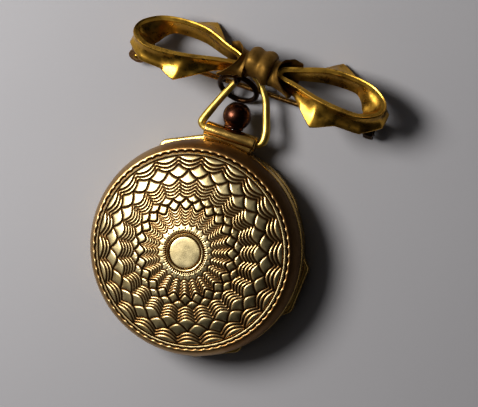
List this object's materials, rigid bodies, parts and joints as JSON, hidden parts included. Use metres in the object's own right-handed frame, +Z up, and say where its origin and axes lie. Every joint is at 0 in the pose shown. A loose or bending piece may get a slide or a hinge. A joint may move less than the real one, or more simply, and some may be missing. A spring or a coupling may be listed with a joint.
{
  "type": "fob watch",
  "caption": "Hand-wound fob watch with an engraved domed back, ball crown and stirrup bow, hanging by a ring from a ribbon-bow brooch.",
  "frame": {"origin": "middle of the object's bounding box seen from above, at the table it lies on", "axes": "+Y towards twelve o'clock and the brooch, +Z up through the watch's back, +X along the brooch to its catch"},
  "size_m": [0.0354, 0.0423, 0.0097],
  "materials": {
    "gold": "worn gilt, satin",
    "old_gold": "antique gilt with brown patina",
    "dark": "nearly black patina",
    "copper": "dark red-brown, gilding worn off",
    "steel": "polished steel",
    "gilt": "gilt movement plate",
    "blued": "blued steel",
    "white": "off-white dial enamel",
    "glass": "clear crystal"
  },
  "bodies": {
    "brooch": {"left_loop": "old_gold", "right_loop": "old_gold", "knot_band": "old_gold", "knot_flare_left": "old_gold", "knot_flare_right": "old_gold", "hanger_eye": "dark", "pin_hinge_lug": "old_gold", "pin_hinge_rivet": "old_gold", "catch_body": "dark"},
    "pin": {"pin_stem": "gold"},
    "lock": {"catch_lock": "dark"},
    "ring": {"link_ring": "dark"},
    "stirrup": {"stirrup": "gold"},
    "case": {"case_middle": "gold", "bezel": "gold", "crystal": "glass", "pendant_bar": "gold", "dial": "white", "holding_ring": "steel", "main_plate": "gilt", "barrel_bridge": "gilt", "train_bridge": "gilt", "balance_cock": "gilt", "hairspring": "blued", "mainspring": "steel", "bridge_screw_1": "blued", "bridge_screw_2": "blued", "bridge_screw_3": "blued", "bridge_screw_4": "blued", "bridge_screw_5": "blued"},
    "cover": {"back_cover": "gold"},
    "keyless": {"setting_lever": "steel"},
    "crown_stem": {"crown": "copper", "winding_stem": "steel"},
    "clutch": {"clutch_wheel": "steel", "winding_pinion": "steel"},
    "crown_wheel": {"crown_wheel": "steel"},
    "ratchet": {"ratchet_wheel": "steel", "barrel_arbor": "steel"},
    "click": {"click": "steel"},
    "minute": {"minute_hand": "blued", "cannon_pinion": "steel"},
    "hour": {"hour_hand": "blued", "hour_wheel": "gilt"},
    "motion": {"minute_wheel": "gilt"},
    "fourth": {"fourth_wheel": "gilt"},
    "third": {"third_wheel": "gilt"},
    "centre": {"centre_wheel": "gilt"},
    "barrel": {"mainspring_barrel": "gilt", "barrel_lid": "gilt"},
    "escape": {"escape_wheel": "gilt"},
    "pallet": {"pallet_fork": "steel"},
    "balance": {"balance_wheel": "gilt"}
  },
  "joints": [
    {"name": "pin_open", "type": "hinge", "parent": "brooch", "child": "pin", "pos_m": [-0.01653, 0.01489, 0.00147], "axis": [0, 0.7547, -0.6561], "range_deg": [0, 60]},
    {"name": "catch_turn", "type": "hinge", "parent": "brooch", "child": "lock", "pos_m": [0.01537, 0.01489, 0.00147], "axis": [1, 0, 0], "range_deg": [0, 110]},
    {"name": "ring_swing", "type": "hinge", "parent": "brooch", "child": "ring", "pos_m": [-0.00243, 0.01622, 0.00417], "axis": [1, 0, 0], "range_deg": [-30, 0]},
    {"name": "stirrup_swing", "type": "hinge", "parent": "ring", "child": "stirrup", "pos_m": [-0.00328, 0.0147, 0.00243], "axis": [1, 0, 0], "range_deg": [0, 15]},
    {"name": "case_swing", "type": "hinge", "parent": "stirrup", "child": "case", "pos_m": [-0.00128, 0.00855, 0.0034], "axis": [-1, 0, 0], "range_deg": [-60, 60]},
    {"name": "cover_lift", "type": "slide", "parent": "case", "child": "cover", "axis": [0, 0, 1], "range_m": [0, 0.012]},
    {"name": "crown_pull", "type": "slide", "parent": "case", "child": "keyless", "axis": [0, 1, 0], "range_m": [0, 0.0005]},
    {"name": "crown_turn", "type": "hinge", "parent": "keyless", "child": "crown_stem", "pos_m": [-0.00128, 0.00855, 0.0034], "axis": [0, 1, 0], "continuous": true},
    {"name": "clutch_turn", "type": "hinge", "parent": "case", "child": "clutch", "pos_m": [-0.00128, 0.00855, 0.0034], "axis": [0, 1, 0], "continuous": true},
    {"name": "crown_wheel_turn", "type": "hinge", "parent": "case", "child": "crown_wheel", "pos_m": [-0.00128, -0.00025, 0.0068], "axis": [0, 0, 1], "continuous": true},
    {"name": "ratchet_turn", "type": "hinge", "parent": "case", "child": "ratchet", "pos_m": [-0.00518, -0.0036, 0.0068], "axis": [0, 0, 1], "continuous": true},
    {"name": "click_lift", "type": "hinge", "parent": "case", "child": "click", "pos_m": [-0.00863, -0.0024, 0.0068], "axis": [0, 0, 1], "range_deg": [0, 10]},
    {"name": "minute_turn", "type": "hinge", "parent": "case", "child": "minute", "pos_m": [-0.00128, -0.0065, 0.002], "axis": [0, 0, 1], "continuous": true},
    {"name": "hour_turn", "type": "hinge", "parent": "case", "child": "hour", "pos_m": [-0.00128, -0.0065, 0.002], "axis": [0, 0, 1], "continuous": true},
    {"name": "minute_wheel_turn", "type": "hinge", "parent": "case", "child": "motion", "pos_m": [0.00007, -0.00416, 0.003], "axis": [0, 0, 1], "continuous": true},
    {"name": "fourth_turn", "type": "hinge", "parent": "case", "child": "fourth", "pos_m": [0.00035, -0.01108, 0.005], "axis": [0, 0, 1], "continuous": true},
    {"name": "third_turn", "type": "hinge", "parent": "case", "child": "third", "pos_m": [-0.00256, -0.01002, 0.005], "axis": [0, 0, 1], "continuous": true},
    {"name": "centre_turn", "type": "hinge", "parent": "case", "child": "centre", "pos_m": [-0.00128, -0.0065, 0.005], "axis": [0, 0, 1], "continuous": true},
    {"name": "barrel_turn", "type": "hinge", "parent": "case", "child": "barrel", "pos_m": [-0.00518, -0.0036, 0.005], "axis": [0, 0, 1], "continuous": true},
    {"name": "escape_turn", "type": "hinge", "parent": "case", "child": "escape", "pos_m": [0.00308, -0.01009, 0.005], "axis": [0, 0, 1], "continuous": true},
    {"name": "pallet_rock", "type": "hinge", "parent": "case", "child": "pallet", "pos_m": [0.00369, -0.00808, 0.005], "axis": [0, 0, 1], "range_deg": [-4, 4]},
    {"name": "balance_swing", "type": "hinge", "parent": "case", "child": "balance", "pos_m": [0.00462, -0.005, 0.005], "axis": [0, 0, 1], "range_deg": [-150, 150]}
  ],
  "couplings": [
    {"joint": "hour_turn", "follows": "minute_turn", "ratio": 0.083333},
    {"joint": "minute_wheel_turn", "follows": "minute_turn", "ratio": -0.33333},
    {"joint": "clutch_turn", "follows": "crown_turn", "ratio": 1},
    {"joint": "crown_wheel_turn", "follows": "crown_turn", "ratio": -0.33333},
    {"joint": "ratchet_turn", "follows": "crown_turn", "ratio": 0.33333},
    {"joint": "third_turn", "follows": "fourth_turn", "ratio": -0.13333},
    {"joint": "centre_turn", "follows": "fourth_turn", "ratio": 0.016667},
    {"joint": "barrel_turn", "follows": "fourth_turn", "ratio": -0.0027778},
    {"joint": "escape_turn", "follows": "fourth_turn", "ratio": -10}
  ]
}
